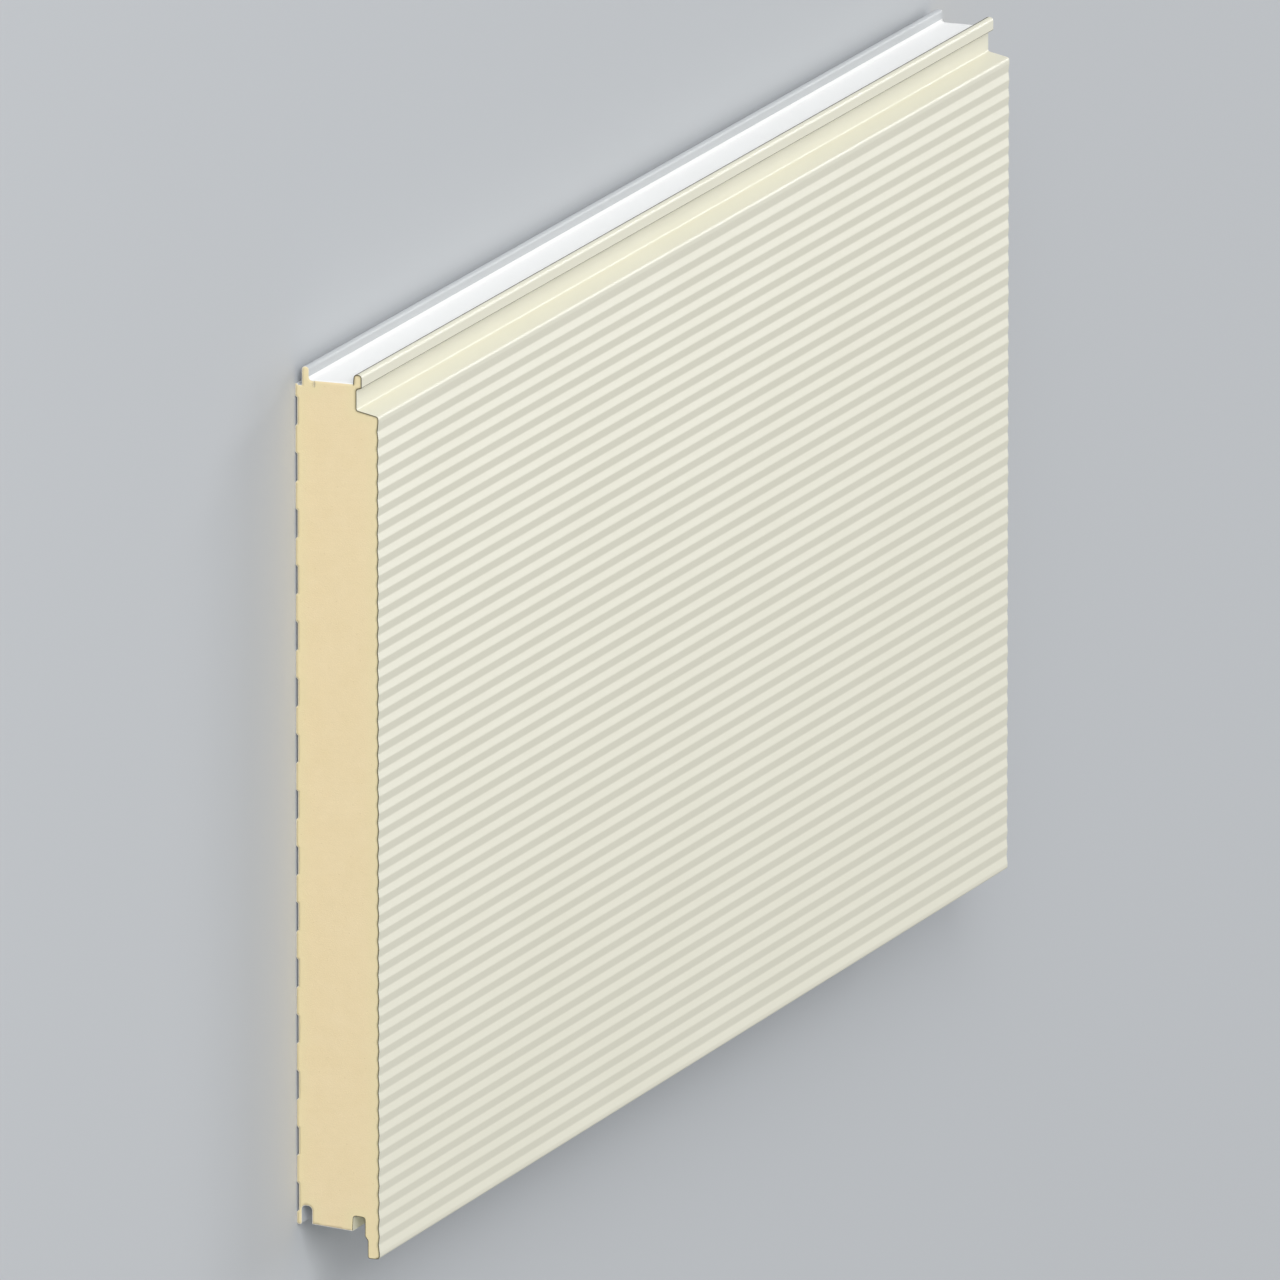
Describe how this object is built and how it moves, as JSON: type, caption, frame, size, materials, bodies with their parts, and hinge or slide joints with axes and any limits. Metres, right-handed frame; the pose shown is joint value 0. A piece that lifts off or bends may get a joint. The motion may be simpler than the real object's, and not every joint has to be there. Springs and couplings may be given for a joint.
{
  "type": "insulated sandwich panel",
  "caption": "Foam-cored wall panel with two roll-formed steel facings, fine ribs on the weather face and a double tongue-and-groove joint along its long edges.",
  "frame": {"origin": "centre of the footprint, on the plane of the liner rib crests", "axes": "+X along the panel; +Y across it, towards the tongue edge; +Z outward normal of the finely ribbed weather face"},
  "size_m": [2, 1.0464, 0.1025],
  "materials": {
    "outer_sheet": "light ivory polyester paint on galvanised steel, satin",
    "liner_sheet": "grey-white polyester paint on galvanised steel, satin",
    "foam_core": "sawn rigid polyisocyanurate foam, matt",
    "edge_film": "white gas-tight facing film, matt"
  },
  "bodies": {
    "root": {"outer_sheet": "outer_sheet", "liner_sheet": "liner_sheet", "foam_core": "foam_core", "tongue_edge_film": "edge_film", "groove_edge_film": "edge_film"}
  },
  "joints": []
}
